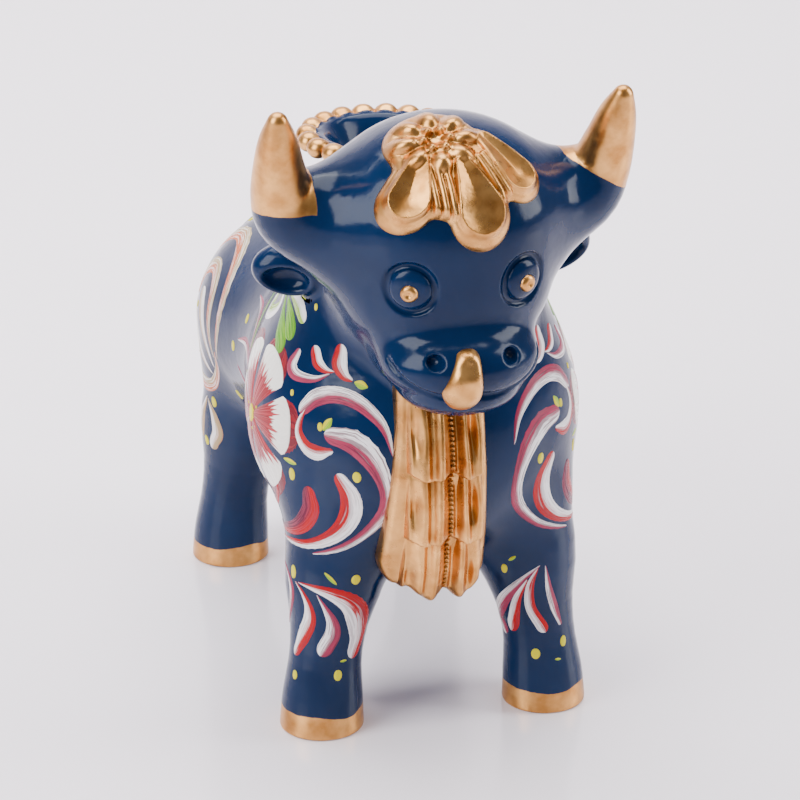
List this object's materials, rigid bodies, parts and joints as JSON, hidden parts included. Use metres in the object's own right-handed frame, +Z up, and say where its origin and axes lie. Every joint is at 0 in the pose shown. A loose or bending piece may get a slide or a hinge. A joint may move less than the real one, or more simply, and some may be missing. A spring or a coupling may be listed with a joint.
{
  "type": "ceramic bull vessel",
  "caption": "Hollow glazed ceramic bull standing on four legs, with a flared lobed spout on its back and gilded forelock, dewlap and tongue.",
  "frame": {"origin": "on the floor, under the middle of the whole figure's box", "axes": "+X towards the bull's left side, the bull faces -Y, +Z up"},
  "size_m": [0.0928, 0.1774, 0.1668],
  "materials": {
    "navy_glaze": "gloss",
    "gold_lustre": "satin"
  },
  "bodies": {
    "root": {"torso_shell": "navy_glaze", "head_shell": "navy_glaze", "horn_left": "navy_glaze", "horn_right": "navy_glaze", "ear_left": "navy_glaze", "ear_right": "navy_glaze", "eye_left": "navy_glaze", "eye_right": "navy_glaze", "pupil_left": "gold_lustre", "pupil_right": "gold_lustre", "forelock": "gold_lustre", "dewlap": "gold_lustre", "tongue": "gold_lustre", "spout": "navy_glaze", "tail": "navy_glaze", "leg_front_left": "navy_glaze", "leg_front_right": "navy_glaze", "leg_rear_left": "navy_glaze", "leg_rear_right": "navy_glaze"}
  },
  "joints": []
}
